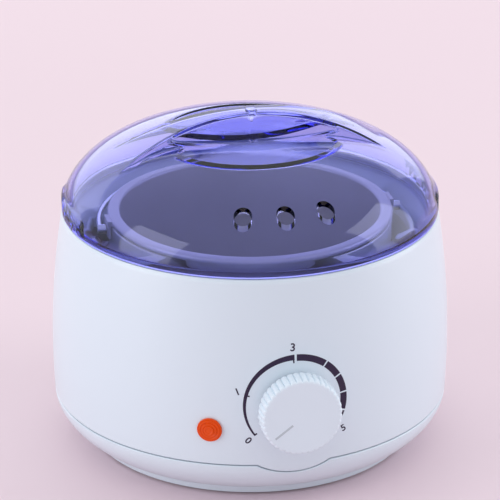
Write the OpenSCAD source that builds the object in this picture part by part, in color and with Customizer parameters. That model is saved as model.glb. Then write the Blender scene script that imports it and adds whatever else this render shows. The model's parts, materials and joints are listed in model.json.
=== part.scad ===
// Electric wax warmer with a domed clear lid, a lift-out pot with a bail, and a dial thermostat.
// Millimetres. +Z is up, -Y is the front with the dial. The origin is the middle of the base on the table.

/* [Pot] */
// Inner diameter of the wax pot
pot_d = 110; // [80:1:140]
// Height of the pot from its bottom to the top of its rim
pot_depth = 59; // [40:1:62]
// Thickness of the pot's wall
pot_wall = 1.2; // [0.8:0.1:2]
// Radius of the bead that is rolled into the pot's rim
bead_r = 1.4; // [1:0.1:2]
// Fillet between the pot's wall and its bottom
pot_fillet = 7; // [3:1:15]

/* [Heating well] */
// Gap between the pot's wall and the heating well
pot_gap = 1; // [0.5:0.1:2]
// Thickness of the well's wall
well_wall = 1.4; // [1:0.1:2]
// Height of the collar that is turned down outside the well
collar_h = 14; // [8:1:18]
// Thickness of the heater band around the well
heater_t = 2.2; // [1.5:0.1:3]
// Height of the heater band
heater_h = 26; // [15:1:30]
// Thickness of the insulation around the heater
wrap_t = 3.5; // [2:0.5:4]

/* [Housing] */
// Height of the housing's rim above the table
rim_z = 101.5; // [85:0.5:125]
// Width of the deck between its opening and the housing's rim
deck_w = 14.9; // [12:0.1:30]
// How far the housing's rim is drawn in from its widest radius
rim_in = 5.2; // [3:0.1:8]
// Height at which the housing is widest
belly_z = 40; // [34:1:50]
// Height of the seam between the base cover and the housing
seam_z = 21; // [19:1:24]
// Thickness of the moulded walls
wall = 2.4; // [1.8:0.1:3]

/* [Deck] */
// Gap between the well's collar and the deck's opening
opening_gap = 2.3; // [1.5:0.1:4]
// Fall of the deck from the rim's step to its opening
deck_fall = 4.8; // [3:0.1:6]
// Width of the finger notches at the two sides
notch_w = 44; // [30:1:60]
// How far the finger notches are cut back past the opening
notch_in = 5.5; // [3:0.1:6]

/* [Base] */
// Radius of the moulded foot ring
foot_r = 69.5; // [55:0.5:72]
// Height of the step above the foot ring
foot_h = 5; // [4:0.5:6]
// How far the base flares out over its foot ring
lip_w = 3.5; // [2:0.5:6]

/* [Lid] */
// Height of the lid's dome above the rim
dome_h = 35; // [30:0.5:45]
// Thickness of the lid
lid_wall = 2.2; // [1.6:0.1:2.6]
// Height of the grip ridge above the top of the dome
ridge_h = 8.4; // [5:0.1:12]
// Radius of the arch of the ridge's top
ridge_arch = 106; // [95:1:120]
// Length of the two grip pockets, corner to corner
grip_l = 72; // [55:1:85]
// Width of the ridge between the grip pockets, at its middle
bar_w = 9; // [7:0.5:14]
// Depth of the grip pockets below the top of the dome
grip_depth = 5.3; // [3:0.1:8]
// Diameter of the vent holes
vent_d = 7.5; // [4:0.5:9]
// Radius of the circle that the vent holes stand on
vent_r = 66; // [55:1:68]

/* [Bail] */
// Diameter of the bail's wire
wire_d = 2.4; // [2:0.1:3]

/* [Dial] */
// Diameter of the knob
knob_d = 34; // [28:1:40]
// How far the knob's face stands out from the housing
knob_out = 13; // [12:0.5:18]
// Height of the dial's centre above the table
knob_z = 48; // [42:1:54]
// Number of flutes around the knob
flutes = 40; // [24:1:48]
// Radius of the round panel around the dial
dial_r = 31; // [26:0.5:34]

/* [Indicator] */
// Diameter of the indicator lens
lens_d = 10.4; // [8:0.1:12]
// Angle of the indicator from the dial, around the housing
lens_a = -23.6; // [-34:0.1:-22]
// Height of the indicator above the table
lens_z = 37; // [32:1:60]

/* [Cord entry] */
// Diameter of the bore for the cord
cord_d = 6.4; // [5:0.1:8]
// Height of the cord's entry above the table
gland_z = 31; // [31:1:45]

/* [Hidden] */
$fn = 96;

over = 1;          // how far a cutter runs past what it cuts
rest_gap = 0.3;    // clearance between pieces that rest on each other and lift off

// radii, from the pot outwards
pot_r = pot_d / 2;
pot_out = pot_r + pot_wall;
well_r = pot_out + pot_gap;
well_out = well_r + well_wall;
collar_t = 1;
collar_r = well_out + 0.6 + collar_t;
opening_r = collar_r + opening_gap;
rim_inner = opening_r + deck_w;
rim_r = rim_inner + wall;
body_r = rim_r + rim_in;
lip_r = foot_r + lip_w;
post_ring_r = foot_r - 11;

// heights, from the rim downwards
pot_top = rim_z - 0.1;
pot_z = pot_top - pot_depth;
well_top = pot_top - 2 * bead_r - rest_gap;
well_floor = pot_z - 1.2;
well_floor_t = 1.6;
well_z = well_floor - well_floor_t;
deck_t = 2.2;
deck_z = rim_z - 4;
deck_edge_z = deck_z - deck_fall;
lid_z = rim_z + rest_gap;

// under the well
shield_t = 1.2;
spacer_h = 9;
shield_z = well_z - spacer_h - shield_t;
shield_r = post_ring_r - 7;
shield_post_r = shield_r - 8;
spacer_ring_r = shield_r - 20;

// screws
screw_r = 1.5;
head_r = 3.2;
head_h = 2;
post_top = seam_z + 3;

// the bail hangs in two ears just outside the collar
wire_r = wire_d / 2;
ear_gap = 0.35;
ear_t = 1.2;
ear_w = 9;
bail_z = rim_z - 5.5;
bail_r = collar_r + ear_gap + ear_t + 1.2 + wire_r;

// the housing's outline: one parabola above the seam and a tighter one below it
function upper_r(z) = body_r - rim_in * pow((z - belly_z) / (rim_z - belly_z), 2);
function lower_r(z) = upper_r(seam_z) - (upper_r(seam_z) - lip_r) * pow((seam_z - z) / (seam_z - foot_h), 2);
function skin_r(z) = z >= seam_z ? upper_r(z) : lower_r(z);
skin_z = concat([for (i = [0:7]) foot_h + (seam_z - foot_h) * i / 8],
    [for (i = [0:18]) seam_z + (rim_z - seam_z) * i / 18]);

// radius of the arc that rises by rise over a chord of twice half
function arc_r(half, rise) = (half * half + rise * rise) / (2 * rise);

// turns a child from the XY plane to stand on the housing at an angle from the front, z outwards
module on_side(angle, z) {
    rotate([0, 0, angle]) translate([0, 0, z]) rotate([90, 0, 0]) children();
}

module around(count, radius, start = 0) {
    for (i = [0:count - 1]) rotate([0, 0, start + i * 360 / count]) translate([radius, 0, 0]) children();
}

module tube(r_out, r_in, h) {
    difference() {
        cylinder(r = r_out, h = h);
        translate([0, 0, -over]) cylinder(r = r_in, h = h + 2 * over);
    }
}

module screw(head_z, tip_z) {
    translate([0, 0, min(head_z, tip_z)]) cylinder(r = screw_r, h = abs(tip_z - head_z), $fn = 32);
    translate([0, 0, head_z - (tip_z > head_z ? head_h : 0)]) cylinder(r = head_r, h = head_h, $fn = 32);
}

// ---- housing, deck and base -------------------------------------------------------------------------------

module skin() {
    rotate_extrude($fn = 180) polygon(concat([for (z = skin_z) [skin_r(z), z]],
        [for (i = [len(skin_z) - 1:-1:0]) [skin_r(skin_z[i]) - wall, skin_z[i]]]));
}

module dial_panel(grow = 0) {
    on_side(0, knob_z) cylinder(r = dial_r + grow, h = body_r + 10);
}

deck_r = rim_inner - 0.25;
land_r = deck_r - 2.6;
ledge_top = deck_z - deck_t;
ledge_in = land_r + 0.3;
ledge_t = 2.5;
boss_h = min(20, well_z - post_top - 3);

module housing() {
    color("#f2f3f8") difference() {
        union() {
            intersection() {
                skin();
                union() {
                    translate([0, 0, seam_z]) cylinder(r = body_r + over, h = rim_z);
                    dial_panel();
                }
            }
            translate([0, 0, ledge_top - ledge_t]) tube(skin_r(ledge_top) - wall / 2, ledge_in, ledge_t);
            around(4, post_ring_r, 45) translate([0, 0, post_top]) {
                cylinder(r = 4, h = boss_h, $fn = 40);
                translate([0, -wall / 2, 0]) cube([skin_r(seam_z) - wall / 2 - post_ring_r, wall, boss_h]);
            }
        }
        around(4, post_ring_r, 45) translate([0, 0, post_top - over])
            cylinder(r = screw_r, h = boss_h - 3, $fn = 32);
        around(4, deck_screw_r, 45) translate([0, 0, ledge_top - 10])
            cylinder(r = deck_screw_hole, h = 20, $fn = 32);
        on_side(0, knob_z) cylinder(r = bush_r + 0.2, h = body_r + 10);
        on_side(lens_a, lens_z) cylinder(r = stem_r + 0.2, h = body_r + 10);
        on_side(180, gland_z) cylinder(r = gland_r + 0.2, h = body_r + 10);
    }
}

deck_screw_r = rim_inner - 1.6;
deck_screw_hole = 1;
deck_screw_head = 1.9;
deck_lip_h = 5;
front_relief = 2.5;
front_relief_w = 100;

module deck_ring() {
    lip_z = deck_edge_z - deck_lip_h;
    color("#e9ebf4") difference() {
        rotate_extrude($fn = 180) polygon([[deck_r, deck_z - deck_t], [deck_r, deck_z], [land_r, deck_z],
            [opening_r + 1.5, deck_edge_z], [opening_r + 0.4, deck_edge_z - 0.3], [opening_r, deck_edge_z - 1],
            [opening_r, lip_z], [opening_r + deck_t, lip_z], [opening_r + deck_t, deck_edge_z - deck_t],
            [land_r, deck_z - deck_t]]);
        intersection() {
            translate([0, 0, lip_z - over]) cylinder(r = opening_r + notch_in, h = 20, $fn = 180);
            translate([-body_r, -notch_w / 2, 0]) cube([2 * body_r, notch_w, rim_z]);
        }
        intersection() {
            translate([0, 0, lip_z - over]) cylinder(r = opening_r + front_relief, h = 20, $fn = 180);
            translate([-front_relief_w / 2, -body_r, 0]) cube([front_relief_w, body_r, rim_z]);
        }
        around(4, deck_screw_r, 45) translate([0, 0, deck_z - 12])
            cylinder(r = deck_screw_hole, h = 11.2, $fn = 32);
    }
}

module deck_screws() {
    color("silver") around(4, deck_screw_r, 45) {
        translate([0, 0, ledge_top - ledge_t]) cylinder(r = deck_screw_hole, h = ledge_t + 1.2, $fn = 32);
        translate([0, 0, ledge_top - ledge_t - 1.6]) cylinder(r = deck_screw_head, h = 1.6, $fn = 32);
    }
}

seam_gap = 0.5;
foot_lift = 0.8;
shield_post_h = shield_z - foot_h;

module base_profile() {
    low = [for (z = skin_z) if (z < seam_z - seam_gap) z];
    zs = concat(low, [seam_z - seam_gap]);
    polygon(concat([[0, foot_h - wall], [foot_r - wall, foot_h - wall], [foot_r - wall, foot_lift],
        [foot_r, foot_lift], [foot_r + 0.5, foot_h - 0.4]], [for (z = zs) [skin_r(z), z]],
        [for (i = [len(zs) - 1:-1:0]) [skin_r(zs[i]) - wall, zs[i]]], [[0, foot_h]]));
}

module base_cover() {
    tongue_r = skin_r(seam_z) - wall - 0.4;
    color("#eceef6") difference() {
        union() {
            rotate_extrude($fn = 180) base_profile();
            translate([0, 0, seam_z - 4]) tube(tongue_r, tongue_r - 1.8, 5.6);
            rotate_extrude($fn = 180)
                polygon([[tongue_r - 1, seam_z - 4], [skin_r(seam_z - 4) - wall / 2, seam_z - 4],
                [skin_r(seam_z - 1) - wall / 2, seam_z - 1], [tongue_r - 1, seam_z - 1]]);
            around(4, post_ring_r, 45) translate([0, 0, foot_h - wall])
                cylinder(r = 4.5, h = post_top - foot_h + wall);
            around(3, shield_post_r, 30) translate([0, 0, foot_h - wall])
                cylinder(r = 4.5, h = shield_post_h + wall, $fn = 40);
            for (x = [-clamp_x, clamp_x]) translate([x, clamp_y, foot_h - wall])
                cylinder(r = 3, h = clamp_z - foot_h + wall, $fn = 40);
        }
        dial_panel(seam_gap);
        around(4, post_ring_r, 45) {
            cylinder(r = screw_r + 0.2, h = post_top + over, $fn = 32);
            cylinder(r = head_r + 0.3, h = screw_head_z, $fn = 32);
        }
        around(3, shield_post_r, 30) translate([0, 0, foot_h + 2])
            cylinder(r = screw_r, h = shield_z, $fn = 32);
        for (x = [-clamp_x, clamp_x]) translate([x, clamp_y, foot_h]) cylinder(r = 1.2, h = clamp_z, $fn = 32);
        for (row = [-3:3]) translate([-vent_half(row), row * 9 - 1.5, 0])
            cube([2 * vent_half(row), 3, foot_h + over]);
    }
}

// half the length of an air slot in the floor: shorter where the row is further from the middle
function vent_half(row) = 22 - abs(row) * 4;
screw_head_z = foot_h + 1.5;

module foot_ring() {
    color("#3a3b40") tube(foot_r - wall - 0.4, foot_r - wall - 4.6, foot_h - wall);
}

module base_screws() {
    color("silver") around(4, post_ring_r, 45) screw(screw_head_z, post_top + boss_h - 5);
}

// ---- well, heater and insulation --------------------------------------------------------------------------

module heating_well() {
    color("#b9bcc4") rotate_extrude($fn = 180) polygon([[0, well_z], [well_out, well_z], [well_out, well_top - 1.4],
        [collar_r - collar_t, well_top - 1.4], [collar_r - collar_t, well_top - collar_h],
        [collar_r, well_top - collar_h], [collar_r, well_top - 0.4], [collar_r - 0.4, well_top],
        [well_r, well_top], [well_r, well_floor], [0, well_floor]]);
}

heater_in = well_out + 0.1;
heater_out = heater_in + heater_t;
heater_z = well_z + 10;
heater_gap_a = 60;
strap_t = 0.6;
wrap_in = heater_out + strap_t + 0.3;
wrap_out = wrap_in + wrap_t;

// a band round the well that leaves a gap, centred behind and to the right
module open_band(r_in, r_out, h, gap) {
    rotate([0, 0, heater_gap_a + gap / 2]) rotate_extrude(angle = 360 - gap, $fn = 180)
        translate([r_in, 0]) square([r_out - r_in, h]);
}

module band_heater() {
    color("#b8a06a") translate([0, 0, heater_z]) {
        open_band(heater_in, heater_out, heater_h, 14);
        for (s = [-1, 1]) rotate([0, 0, heater_gap_a + s * 12])
            translate([heater_out - 0.2, -1.5, heater_h / 2 - 1.5]) cube([4.2, 3, 3]);
    }
}

strap_h = 5;
strap_zs = [heater_z + 3, heater_z + heater_h - 3 - strap_h];
lug_l = 4.4;
lug_a = 6.5;
bolt_r = heater_out + 2.6;
bolt_head = bolt_r * sin(lug_a) + 1.41;

module heater_clamps() {
    color("silver") for (z = strap_zs) translate([0, 0, z]) difference() {
        union() {
            open_band(heater_out, heater_out + strap_t, strap_h, 10);
            for (s = [-1, 1]) rotate([0, 0, heater_gap_a + s * lug_a])
                translate([heater_out + strap_t / 2, -0.5, 0.5]) cube([lug_l, 1, strap_h - 1]);
        }
        rotate([0, 0, heater_gap_a]) translate([bolt_r, 0, strap_h / 2]) rotate([90, 0, 0])
            cylinder(r = 1.1, h = 2 * bolt_head + 10, center = true, $fn = 32);
    }
}

module clamp_bolts() {
    color("gray") for (z = strap_zs) rotate([0, 0, heater_gap_a])
        translate([bolt_r, 0, z + strap_h / 2]) rotate([90, 0, 0]) {
            cylinder(r = 1, h = 2 * bolt_head + 2.8, center = true, $fn = 32);
            translate([0, 0, bolt_head]) cylinder(r = 1.9, h = 1.6, $fn = 32);
            translate([0, 0, -bolt_head - 1.6]) cylinder(r = 1.9, h = 1.6, $fn = 32);
        }
}

module insulation_wrap() {
    color("#e6dcc0") translate([0, 0, heater_z - 1]) open_band(wrap_in, wrap_out, heater_h + 2, 40);
}

module heat_shield() {
    color("silver") translate([0, 0, shield_z]) difference() {
        cylinder(r = shield_r, h = shield_t);
        around(3, shield_post_r, 30) translate([0, 0, -over]) cylinder(r = screw_r + 0.2, h = 5, $fn = 32);
        around(3, spacer_ring_r, 90) translate([0, 0, -over]) cylinder(r = screw_r + 0.2, h = 5, $fn = 32);
        around(6, 16, 0) translate([0, 0, -over]) cylinder(r = 4, h = 5, $fn = 32);
    }
}

module shield_screws() {
    color("gray") around(3, shield_post_r, 30)
        screw(shield_z + shield_t, max(foot_h + 2.5, shield_z - 14));
}

module well_spacers() {
    color("#d8d4c8") around(3, spacer_ring_r, 90) translate([0, 0, shield_z + shield_t])
        tube(4, screw_r + 0.2, spacer_h);
}

module well_bolts() {
    color("gray") around(3, spacer_ring_r, 90) screw(shield_z, well_z);
}

fuse_r = 2.1;
fuse_z = well_z - fuse_r - 0.1;

module thermal_fuse() {
    color("#cfd2d8") translate([0, 0, fuse_z]) rotate([0, 90, 0]) {
        cylinder(r = fuse_r, h = 11, center = true, $fn = 40);
        cylinder(r = 0.5, h = 26, center = true, $fn = 32);
    }
}

module fuse_clip() {
    color("silver") difference() {
        translate([-3, -9, fuse_z - fuse_r - 0.8]) cube([6, 18, well_z - fuse_z + fuse_r + 0.8]);
        translate([0, 0, fuse_z]) rotate([0, 90, 0]) cylinder(r = fuse_r, h = 20, center = true, $fn = 40);
        for (s = [-1, 1]) translate([-over - 3, s * 6.5 - 3.3, fuse_z - 4]) cube([8, 6.6, well_z - fuse_z + 3]);
    }
}

// ---- thermostat and knob ----------------------------------------------------------------------------------

stat_w = 28;
stat_h = 24;
stat_d = 11;
stat_front = sqrt(pow(skin_r(knob_z + stat_h / 2) - wall, 2) - pow(stat_w / 2, 2)) - 0.6;
bush_r = 4;
bush_end = body_r + 3.2;
shaft_r = 2.95;
shaft_gap = 0.05;
nut_y = skin_r(knob_z) + 0.4;
nut_t = 2.2;
knob_back = body_r + 1.3;
knob_face = body_r + knob_out;
shaft_end = knob_face - 3.2;

// the dial parts are drawn along +Z and turned so that +Z points out of the front
module on_dial() {
    on_side(0, knob_z) children();
}

module thermostat() {
    color("#efe9dc") on_dial() difference() {
        union() {
            translate([-stat_w / 2, -stat_h / 2, stat_front - stat_d]) cube([stat_w, stat_h, stat_d]);
            translate([0, 0, stat_front - over]) cylinder(r = bush_r, h = bush_end - stat_front + over);
        }
        translate([0, 0, stat_front - 4]) cylinder(r = shaft_r + shaft_gap, h = 40);
    }
}

module thermostat_nut() {
    color("silver") on_dial() translate([0, 0, nut_y]) difference() {
        cylinder(r = 6.6, h = nut_t, $fn = 6);
        translate([0, 0, -over]) cylinder(r = bush_r, h = nut_t + 2 * over);
    }
}

module thermostat_shaft() {
    color("silver") on_dial() translate([0, 0, stat_front - 3.8])
        cylinder(r = shaft_r, h = shaft_end - stat_front + 3.8);
}

knob_r = knob_d / 2;
flute_r = 0.95;
hub_r = 5.5;
hub_back = bush_end + 0.8;
knob_rim = 2.2;
// the pointer lies towards the off mark at rest
pointer_a = -132;

module knob_body() {
    rotate_extrude($fn = 120) polygon([[0, hub_back], [hub_r, hub_back], [hub_r, knob_face - 3],
        [knob_r - 3, knob_face - 3], [knob_r - 2.6, knob_back], [knob_r, knob_back],
        [knob_r - 0.4, knob_face - knob_rim], [knob_r - 0.8, knob_face - 0.8], [knob_r - 1.6, knob_face],
        [0, knob_face]]);
}

module knob() {
    color("#f2f3f8") on_dial() difference() {
        knob_body();
        translate([0, 0, hub_back - over]) cylinder(r = shaft_r + 0.02, h = shaft_end - hub_back + over + 0.1);
        around(flutes, knob_r + 0.15, 0) translate([0, 0, knob_back - over])
            cylinder(r = flute_r, h = knob_out + 2, $fn = 24);
        rotate([0, 0, -pointer_a]) translate([-0.5, 4, knob_face - 0.4]) cube([1, knob_r - 7, 1]);
    }
}

module knob_spring() {
    color("silver") on_dial() translate([0, 0, hub_back + 0.8]) tube(hub_r + 0.8, hub_r, 2.4);
}

// ---- indicator --------------------------------------------------------------------------------------------

lens_r = lens_d / 2;
stem_r = lens_r - 1;
lens_seat = skin_r(lens_z) + 0.25;
lens_back = lens_seat - 7.5;
ring_step = lens_r / 4;

module indicator_lens() {
    color("#f07818") on_side(lens_a, lens_z) {
        translate([0, 0, lens_back]) cylinder(r = stem_r, h = lens_seat - lens_back);
        translate([0, 0, lens_seat]) cylinder(r = lens_r, h = 0.7);
        for (i = [1:3]) translate([0, 0, lens_seat]) cylinder(r = lens_r - i * ring_step, h = 0.7 + 0.35 * i);
    }
}

module lens_nut() {
    color("#d9dbe2") on_side(lens_a, lens_z) translate([0, 0, lens_seat - 5.4]) tube(stem_r + 2, stem_r, 2);
}

module neon_lamp() {
    color("#ffd9a0") on_side(lens_a, lens_z) {
        translate([0, 0, lens_back - 9.4]) cylinder(r = 2.6, h = 7);
        translate([0, 0, lens_back - 2.4]) cylinder(r1 = 2.6, r2 = 1, h = 2);
    }
}

// ---- wiring -----------------------------------------------------------------------------------------------

block_y = shield_r + 1;
block_d = 11;
block_h = 13;

module terminal_block() {
    color("#e8e6df") difference() {
        translate([-13, block_y, foot_h]) cube([26, block_d, block_h]);
        for (x = [-8, 0, 8]) translate([x, block_y - over, foot_h + 6]) rotate([-90, 0, 0])
            cylinder(r = 1.6, h = block_d + 2 * over, $fn = 32);
        for (x = [-8, 0, 8]) translate([x, block_y + block_d / 2, foot_h + 8])
            cylinder(r = 1.8, h = block_h, $fn = 32);
    }
}

module terminal_screws() {
    color("#c9a94f") for (x = [-8, 0, 8]) translate([x, block_y + block_d / 2, foot_h + 8]) difference() {
        cylinder(r = 1.75, h = 3.6, $fn = 32);
        translate([-2, -0.3, 2.9]) cube([4, 0.6, 2]);
    }
}

gland_r = cord_d / 2 + 2.4;
gland_seat = skin_r(gland_z) + 0.35;
gland_in = gland_seat - 9;
gland_out = gland_seat + 8;

module cord_gland() {
    color("#dfe1ea") on_side(180, gland_z) difference() {
        union() {
            translate([0, 0, gland_in]) cylinder(r = gland_r, h = gland_seat - gland_in);
            translate([0, 0, gland_seat]) cylinder(r = gland_r + 1.8, h = 2.2);
            translate([0, 0, gland_seat + 2.2])
                cylinder(r1 = gland_r + 0.8, r2 = gland_r - 0.8, h = gland_out - gland_seat - 2.2);
        }
        translate([0, 0, gland_in - over]) cylinder(r = cord_d / 2, h = gland_out - gland_in + 2 * over);
    }
}

module gland_nut() {
    color("#dfe1ea") on_side(180, gland_z) translate([0, 0, gland_in + 1]) tube(gland_r + 2.5, gland_r, 3);
}

clamp_x = 8;
clamp_y = foot_r - 1.5;
clamp_z = foot_h + 7;

module cord_clamp() {
    color("#e8e6df") difference() {
        translate([-clamp_x - 4, clamp_y - 3, clamp_z]) cube([2 * clamp_x + 8, 6, 2.4]);
        for (x = [-clamp_x, clamp_x]) translate([x, clamp_y, clamp_z - over])
            cylinder(r = 1.4, h = 5, $fn = 32);
    }
}

module cord_clamp_screws() {
    color("gray") for (x = [-clamp_x, clamp_x]) translate([x, clamp_y, foot_h + 0.5]) {
        cylinder(r = 1.2, h = clamp_z + 2.4 - foot_h - 0.5, $fn = 32);
        translate([0, 0, clamp_z + 1.9 - foot_h]) cylinder(r = 2.6, h = 1.8, $fn = 32);
    }
}

// a round lead: one ring of points at each point of its route, set square to the bend
lead_sides = 8;

module lead(route, r = 0.9) {
    last = len(route) - 1;
    way = [for (i = [0:last]) let (d = route[min(i + 1, last)] - route[max(i - 1, 0)]) d / norm(d)];
    side = [for (w = way) let (c = cross(w, abs(w[2]) > 0.9 ? [1, 0, 0] : [0, 0, 1])) c / norm(c)];
    rings = [for (i = [0:last]) for (k = [0:lead_sides - 1]) let (a = 360 * k / lead_sides)
        route[i] + r * (cos(a) * side[i] + sin(a) * cross(way[i], side[i]))];
    walls = [for (i = [0:last - 1]) for (k = [0:lead_sides - 1]) let (n = (k + 1) % lead_sides)
        [i * lead_sides + n, i * lead_sides + k, (i + 1) * lead_sides + k, (i + 1) * lead_sides + n]];
    near_end = [[for (k = [0:lead_sides - 1]) k]];
    far_end = [[for (k = [lead_sides - 1:-1:0]) last * lead_sides + k]];
    polyhedron(points = rings, faces = concat(walls, near_end, far_end));
}

module inner_leads() {
    stat_y = stat_front - stat_d / 2;
    block_z = foot_h + 6;
    stat_z = knob_z - stat_h / 2;
    lead_ring = (wrap_out + body_r - wall) / 2 - 1;
    lug_r = heater_out + 4.2;
    color("#8a3020") for (x = [-8, 8])
        lead([[x, block_y, block_z], [x, block_y - 3, block_z], [x, block_y - 10, foot_h + 3.5],
            [x, 8 - foot_r, foot_h + 3.5], [x, -stat_y, stat_z - 5], [x, -stat_y, stat_z]]);
    color("#d8d8d8") lead(concat([[stat_w / 2, -stat_y, knob_z], [stat_w / 2 + 4, -stat_y, knob_z]],
        [for (a = [-65:10:heater_gap_a - 15]) [lead_ring * cos(a), lead_ring * sin(a), knob_z + 4]],
        [for (r = [lug_r + 2, lug_r]) r * [cos(heater_gap_a - 12), sin(heater_gap_a - 12), 0]
            + [0, 0, heater_z + heater_h / 2]]));
}

// ---- pot and bail -----------------------------------------------------------------------------------------

function fillet(cx, cz, r, from, to) = [for (i = [0:8])
    let (a = from + (to - from) * i / 8) [cx + r * cos(a), cz + r * sin(a)]];

module pot_rim() {
    rotate_extrude($fn = 180) {
        translate([pot_r + bead_r, pot_top - bead_r]) circle(r = bead_r, $fn = 32);
        translate([pot_r + bead_r, pot_top - 2 * bead_r])
            square([collar_r + 0.1 - pot_r - 2 * bead_r, 2 * bead_r]);
        translate([collar_r + 0.1 - bead_r, pot_top - bead_r]) circle(r = bead_r, $fn = 32);
    }
}

module wax_pot() {
    in_f = pot_fillet - pot_wall;
    color("#a9abb3") union() {
        rotate_extrude($fn = 180) polygon(concat([[0, pot_z]],
            fillet(pot_out - pot_fillet, pot_z + pot_fillet, pot_fillet, -90, 0),
            [[pot_out, pot_top - bead_r], [pot_r, pot_top - bead_r]],
            fillet(pot_r - in_f, pot_z + pot_wall + in_f, in_f, 0, -90), [[0, pot_z + pot_wall]]));
        pot_rim();
    }
}

module pot_ears() {
    tab_x = collar_r + ear_gap;
    color("#9fa1a9") for (s = [0, 180]) rotate([0, 0, s]) difference() {
        union() {
            translate([tab_x, -ear_w / 2, bail_z - wire_r - 1.6])
                cube([ear_t, ear_w, pot_top - 0.6 - bail_z + wire_r + 1.6]);
            translate([collar_r - 1, -ear_w / 2, pot_top - 2 * bead_r])
                cube([ear_t + ear_gap + 1, ear_w, 2 * bead_r - 0.6]);
        }
        pot_rim();
        translate([0, 0, bail_z]) rotate([0, 90, 0]) cylinder(r = wire_r + 0.08, h = body_r, $fn = 40);
    }
}

// each end of the wire is an eyelet that carries the pin in the ear's hole
module bail_handle() {
    pin_in = collar_r + ear_gap + 0.1;
    eye_in = collar_r + ear_gap + ear_t + 0.3;
    color("#c9ccd4") translate([0, 0, bail_z]) {
        rotate_extrude(angle = 180, $fn = 180) translate([bail_r, 0]) circle(r = wire_r, $fn = 32);
        for (s = [0, 180]) rotate([0, 0, s]) rotate([0, 90, 0]) {
            translate([0, 0, eye_in]) cylinder(r = wire_r + 0.9, h = bail_r + wire_r + 0.2 - eye_in, $fn = 40);
            translate([0, 0, pin_in]) cylinder(r = wire_r, h = bail_r - pin_in, $fn = 40);
        }
    }
}

// ---- lid --------------------------------------------------------------------------------------------------

// the dome is a superellipse, full at its shoulder
dome_r_power = 2.5;
dome_z_power = 2;
dome_steps = 30;
function dome(r, h) = [for (i = [0:dome_steps]) let (t = 90 * i / dome_steps)
    [r * pow(cos(t), 2 / dome_r_power), lid_z + h * pow(sin(t), 2 / dome_z_power)]];

module dome_solid(r, h, drop = 0) {
    rotate_extrude($fn = 180) polygon(concat([[0, lid_z - drop], [r, lid_z - drop]], dome(r, h)));
}

// a grip pocket seen from above lies between two arcs that meet in its corners
grip_corner_y = 8.4;
grip_reach = 28.6;
front_arc_r = arc_r(grip_l / 2, grip_reach);
ridge_side_r = arc_r(grip_l / 2, grip_corner_y - bar_w / 2);
grip_floor = lid_z + dome_h - grip_depth;

// circle that bounds the ridge's front side from outside; the pocket lies inside it
module side_circle(grow = 0) {
    translate([0, -bar_w / 2 - ridge_side_r]) circle(r = ridge_side_r + grow, $fn = 180);
}

module grip_outline(grow = 0) {
    intersection() {
        translate([0, front_arc_r - grip_corner_y - grip_reach]) circle(r = front_arc_r + grow, $fn = 120);
        side_circle(grow);
    }
}

// the ridge crosses the dome: its top is part of a sphere, and its two sides are hollow arcs
module ridge(shrink = 0) {
    top_z = lid_z + dome_h + ridge_h;
    intersection() {
        translate([0, 0, top_z - ridge_arch]) sphere(r = ridge_arch - shrink, $fn = 180);
        translate([0, 0, lid_z + 5]) linear_extrude(dome_h + ridge_h) difference() {
            circle(r = rim_r - 10 - shrink);
            side_circle(shrink);
            mirror([0, 1]) side_circle(shrink);
        }
    }
}

module grips(grow, z) {
    for (s = [0, 180]) rotate([0, 0, s]) translate([0, 0, z]) linear_extrude(dome_h) grip_outline(grow);
}

skirt_t = 1.8;
skirt_r = rim_inner - 0.4;
skirt_h = 3;

module lid() {
    color("#7f78e0", 0.45) difference() {
        union() {
            dome_solid(rim_r, dome_h);
            ridge();
            translate([0, 0, lid_z - skirt_h]) tube(skirt_r, skirt_r - skirt_t, skirt_h + 1);
        }
        difference() {
            union() {
                dome_solid(rim_r - lid_wall, dome_h - lid_wall, over);
                ridge(lid_wall);
            }
            grips(lid_wall, grip_floor - lid_wall);
            translate([0, 0, lid_z - skirt_h]) tube(rim_r, skirt_r - skirt_t, skirt_h + 2);
        }
        grips(0, grip_floor);
        for (a = [-15, 0, 15]) rotate([0, 0, a]) translate([0, -vent_r, lid_z + 5])
            cylinder(r = vent_d / 2, h = dome_h, $fn = 48);
    }
}

housing();
deck_ring();
deck_screws();
base_cover();
foot_ring();
base_screws();
heating_well();
band_heater();
heater_clamps();
clamp_bolts();
insulation_wrap();
heat_shield();
shield_screws();
well_spacers();
well_bolts();
thermal_fuse();
fuse_clip();
thermostat();
thermostat_nut();
thermostat_shaft();
knob();
knob_spring();
indicator_lens();
lens_nut();
neon_lamp();
terminal_block();
terminal_screws();
cord_gland();
gland_nut();
cord_clamp();
cord_clamp_screws();
inner_leads();
wax_pot();
pot_ears();
bail_handle();
lid();
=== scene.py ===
"""Electric wax warmer, dressed for pictures.

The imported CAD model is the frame. The moulded shells, the clear lid, the pot, the knob, the dial's
print and the indicator are made here as meshes. Every other node keeps its CAD shape and gets a finish
of its own.
"""

import json
import math
from bisect import bisect_left, bisect_right

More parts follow.
